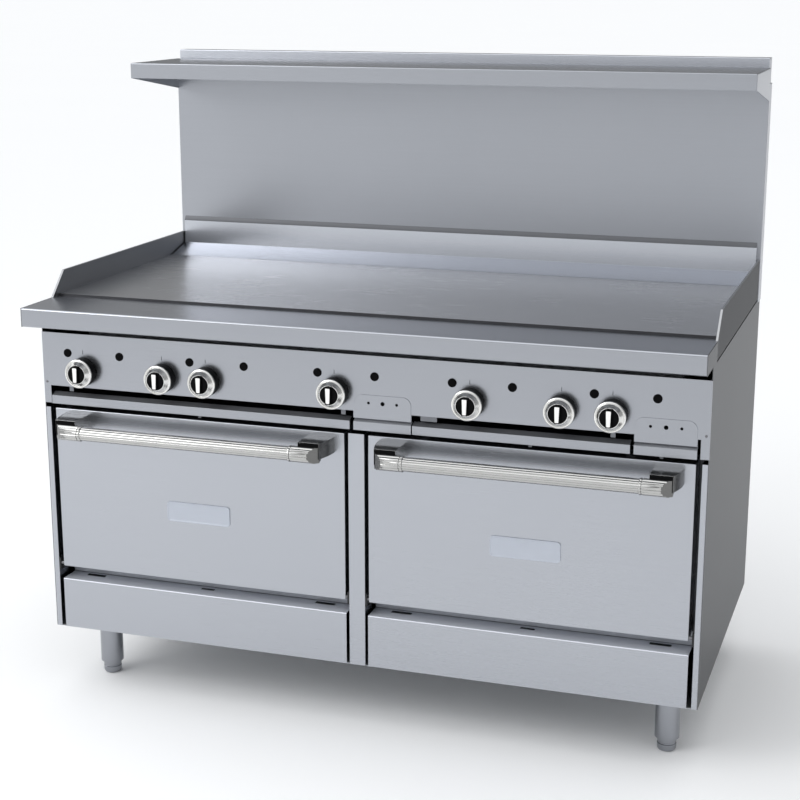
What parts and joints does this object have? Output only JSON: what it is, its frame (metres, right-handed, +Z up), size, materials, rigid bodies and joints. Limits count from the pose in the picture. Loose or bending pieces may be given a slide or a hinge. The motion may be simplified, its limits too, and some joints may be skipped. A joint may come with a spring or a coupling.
{
  "type": "commercial gas range",
  "caption": "Free-standing stainless commercial gas range with a full-width griddle, twin ovens with drop-down doors, crumb trays, and a backguard with a high shelf.",
  "frame": {"origin": "on the floor, under the middle of the range's overall box", "axes": "+X to the right along the front, +Y from the doors to the back, +Z up"},
  "size_m": [1.504, 0.876, 1.448],
  "materials": {
    "stainless_sheet": "fine satin grain",
    "galvanised_sheet": "dull galvanised",
    "griddle_steel": "ground and polished plate",
    "black_plastic": "matte",
    "gas_iron": "black, dull",
    "valve_brass": "machined",
    "thermostat_aluminium": "die cast",
    "oven_enamel": "baked porcelain enamel, speckled",
    "rack_chrome": "bright wire",
    "leg_steel": "polished tube",
    "hardware_steel": "zinc plated",
    "gasket_black": "matte",
    "handle_chrome": "bright, fluted",
    "badge_aluminium": "pale satin, blank",
    "knob_plastic": "black with a bright metal ring"
  },
  "bodies": {
    "range_frame": {"side_panel_left": "stainless_sheet", "side_panel_right": "stainless_sheet", "front_post_left": "stainless_sheet", "front_post_center": "stainless_sheet", "front_post_right": "stainless_sheet", "kick_panel_left": "stainless_sheet", "kick_panel_right": "stainless_sheet", "front_rail": "stainless_sheet", "side_splash_left": "stainless_sheet", "side_splash_right": "stainless_sheet", "rear_riser": "stainless_sheet", "backguard": "stainless_sheet", "high_shelf": "stainless_sheet", "control_panel": "stainless_sheet", "cover_plates": "stainless_sheet", "rear_panel": "galvanised_sheet", "base_pan": "galvanised_sheet", "burner_box": "galvanised_sheet", "tray_runners": "galvanised_sheet", "griddle_plate": "griddle_steel", "hole_plugs": "black_plastic", "gas_manifold": "gas_iron", "gas_inlet": "gas_iron", "griddle_burners": "gas_iron", "oven_burners": "gas_iron", "griddle_valves": "valve_brass", "oven_thermostats": "thermostat_aluminium", "oven_liner_left": "oven_enamel", "oven_liner_right": "oven_enamel", "oven_racks": "rack_chrome", "legs": "leg_steel", "hinge_brackets": "hardware_steel", "panel_screws": "hardware_steel"},
    "door_left": {"door_skin_left": "stainless_sheet", "door_liner_left": "oven_enamel", "door_gasket_left": "gasket_black", "handle_bar_left": "handle_chrome", "handle_brackets_left": "handle_chrome", "door_badge_left": "badge_aluminium", "hinge_pins_left": "hardware_steel"},
    "door_right": {"door_skin_right": "stainless_sheet", "door_liner_right": "oven_enamel", "door_gasket_right": "gasket_black", "handle_bar_right": "handle_chrome", "handle_brackets_right": "handle_chrome", "door_badge_right": "badge_aluminium", "hinge_pins_right": "hardware_steel"},
    "tray_left": {"crumb_tray_left": "stainless_sheet"},
    "tray_right": {"crumb_tray_right": "stainless_sheet"},
    "knob_1_body": {"knob_1": "knob_plastic"},
    "knob_2_body": {"knob_2": "knob_plastic"},
    "knob_3_body": {"knob_3": "knob_plastic"},
    "knob_4_body": {"knob_4": "knob_plastic"},
    "knob_5_body": {"knob_5": "knob_plastic"},
    "knob_6_body": {"knob_6": "knob_plastic"},
    "knob_7_body": {"knob_7": "knob_plastic"},
    "foot_front_left_body": {"foot_front_left": "leg_steel"},
    "foot_front_right_body": {"foot_front_right": "leg_steel"},
    "foot_rear_left_body": {"foot_rear_left": "leg_steel"},
    "foot_rear_right_body": {"foot_rear_right": "leg_steel"}
  },
  "joints": [
    {"name": "oven_door_left", "type": "hinge", "parent": "range_frame", "child": "door_left", "pos_m": [-0.37575, -0.348, 0.3075], "axis": [1, 0, 0], "range_deg": [0, 88]},
    {"name": "oven_door_right", "type": "hinge", "parent": "range_frame", "child": "door_right", "pos_m": [0.37575, -0.348, 0.3075], "axis": [1, 0, 0], "range_deg": [0, 88]},
    {"name": "crumb_tray_left_slide", "type": "slide", "parent": "range_frame", "child": "tray_left", "axis": [0, -1, 0], "range_m": [0, 0.42]},
    {"name": "crumb_tray_right_slide", "type": "slide", "parent": "range_frame", "child": "tray_right", "axis": [0, -1, 0], "range_m": [0, 0.42]},
    {"name": "knob_1_turn", "type": "hinge", "parent": "range_frame", "child": "knob_1_body", "pos_m": [-0.6485, -0.354, 0.771], "axis": [0, 1, 0], "range_deg": [-90, 0]},
    {"name": "knob_2_turn", "type": "hinge", "parent": "range_frame", "child": "knob_2_body", "pos_m": [-0.454, -0.354, 0.771], "axis": [0, 1, 0], "range_deg": [-270, 0]},
    {"name": "knob_3_turn", "type": "hinge", "parent": "range_frame", "child": "knob_3_body", "pos_m": [-0.3485, -0.354, 0.771], "axis": [0, 1, 0], "range_deg": [-90, 0]},
    {"name": "knob_4_turn", "type": "hinge", "parent": "range_frame", "child": "knob_4_body", "pos_m": [-0.0485, -0.354, 0.771], "axis": [0, 1, 0], "range_deg": [-90, 0]},
    {"name": "knob_5_turn", "type": "hinge", "parent": "range_frame", "child": "knob_5_body", "pos_m": [0.2515, -0.354, 0.771], "axis": [0, 1, 0], "range_deg": [-90, 0]},
    {"name": "knob_6_turn", "type": "hinge", "parent": "range_frame", "child": "knob_6_body", "pos_m": [0.446, -0.354, 0.771], "axis": [0, 1, 0], "range_deg": [-270, 0]},
    {"name": "knob_7_turn", "type": "hinge", "parent": "range_frame", "child": "knob_7_body", "pos_m": [0.5515, -0.354, 0.771], "axis": [0, 1, 0], "range_deg": [-90, 0]},
    {"name": "foot_front_left_screw", "type": "slide", "parent": "range_frame", "child": "foot_front_left_body", "axis": [0, 0, -1], "range_m": [0, 0.025]},
    {"name": "foot_front_right_screw", "type": "slide", "parent": "range_frame", "child": "foot_front_right_body", "axis": [0, 0, -1], "range_m": [0, 0.025]},
    {"name": "foot_rear_left_screw", "type": "slide", "parent": "range_frame", "child": "foot_rear_left_body", "axis": [0, 0, -1], "range_m": [0, 0.025]},
    {"name": "foot_rear_right_screw", "type": "slide", "parent": "range_frame", "child": "foot_rear_right_body", "axis": [0, 0, -1], "range_m": [0, 0.025]}
  ]
}
